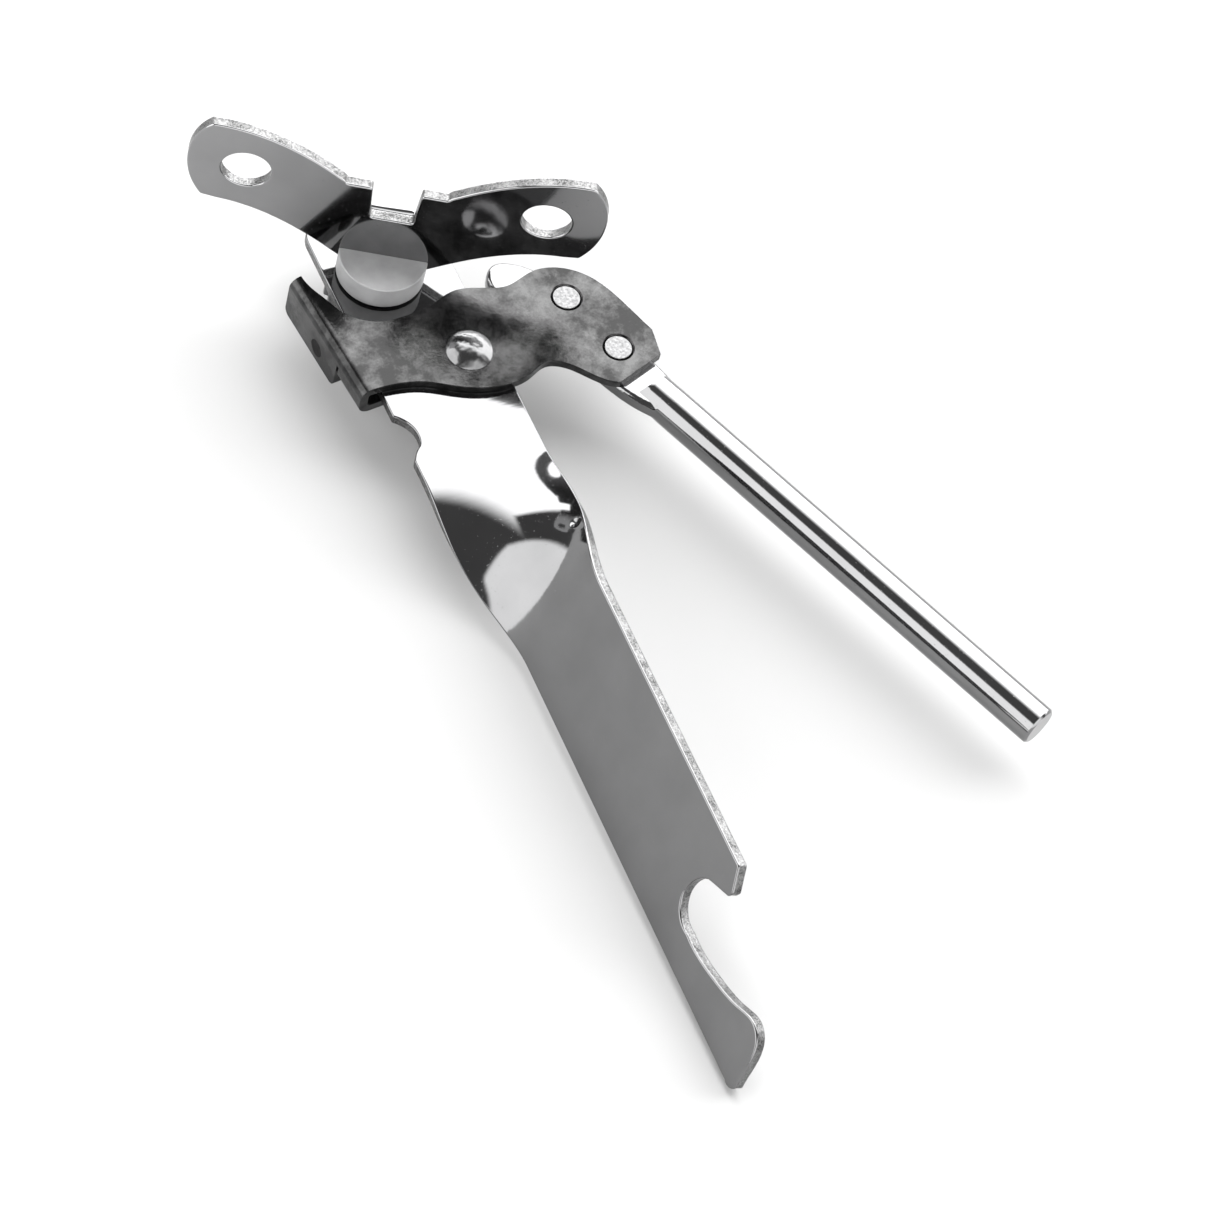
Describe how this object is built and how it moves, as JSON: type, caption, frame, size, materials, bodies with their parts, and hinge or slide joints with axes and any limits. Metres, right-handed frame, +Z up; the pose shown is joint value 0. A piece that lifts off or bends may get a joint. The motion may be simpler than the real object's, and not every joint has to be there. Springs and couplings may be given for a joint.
{
  "type": "manual can opener",
  "caption": "Butterfly can opener: twisted lever with cap lifter, round rod handle, folded head plate with cutter, wing key turning a toothed feed wheel.",
  "frame": {"origin": "on the spindle's axis, level with the top face of the lever handle", "axes": "+Z up along the spindle towards the wing key, +Y along the lever away from its cap-lifter tip, +X to the side of the rod handle"},
  "size_m": [0.1026, 0.1732, 0.043],
  "materials": {
    "chrome_lever": "bright nickel-chrome plate on steel strip, mirror-like faces, sheared edges",
    "chrome_rod": "bright plated round rod with fine drawn lines",
    "chrome_key": "bright plated stamping with torn, speckled sheared edges",
    "black_plate": "black oxide, semi-gloss, with lighter worn edges",
    "hard_steel": "hardened steel, ground",
    "dark_rivet": "blackened rivet, flush outside",
    "bright_rivet": "bright plated flush rivet with a finely dimpled face",
    "hammered_rivet": "bright domed rivet with hammered dents",
    "satin_steel": "fine turned satin steel",
    "plain_steel": "plain washer steel"
  },
  "bodies": {
    "lever": {"lever_handle": "chrome_lever"},
    "head": {"head_plate": "black_plate", "cutting_blade": "hard_steel", "blade_rivet": "dark_rivet", "rod_handle": "chrome_rod", "rod_rivet_inner": "bright_rivet", "rod_rivet_outer": "bright_rivet", "pivot_rivet": "hammered_rivet", "pivot_washer": "plain_steel"},
    "key": {"wing_key": "chrome_key", "drive_spindle": "satin_steel", "spindle_washer": "plain_steel", "feed_wheel": "hard_steel", "wheel_washer": "plain_steel"}
  },
  "joints": [
    {"name": "handle_pivot", "type": "hinge", "parent": "lever", "child": "head", "pos_m": [0.0076, -0.0202, 0], "axis": [0, 0, 1], "range_deg": [-9, 16]},
    {"name": "key_turn", "type": "hinge", "parent": "lever", "child": "key", "pos_m": [0, 0, 0], "axis": [0, 0, 1], "continuous": true}
  ]
}
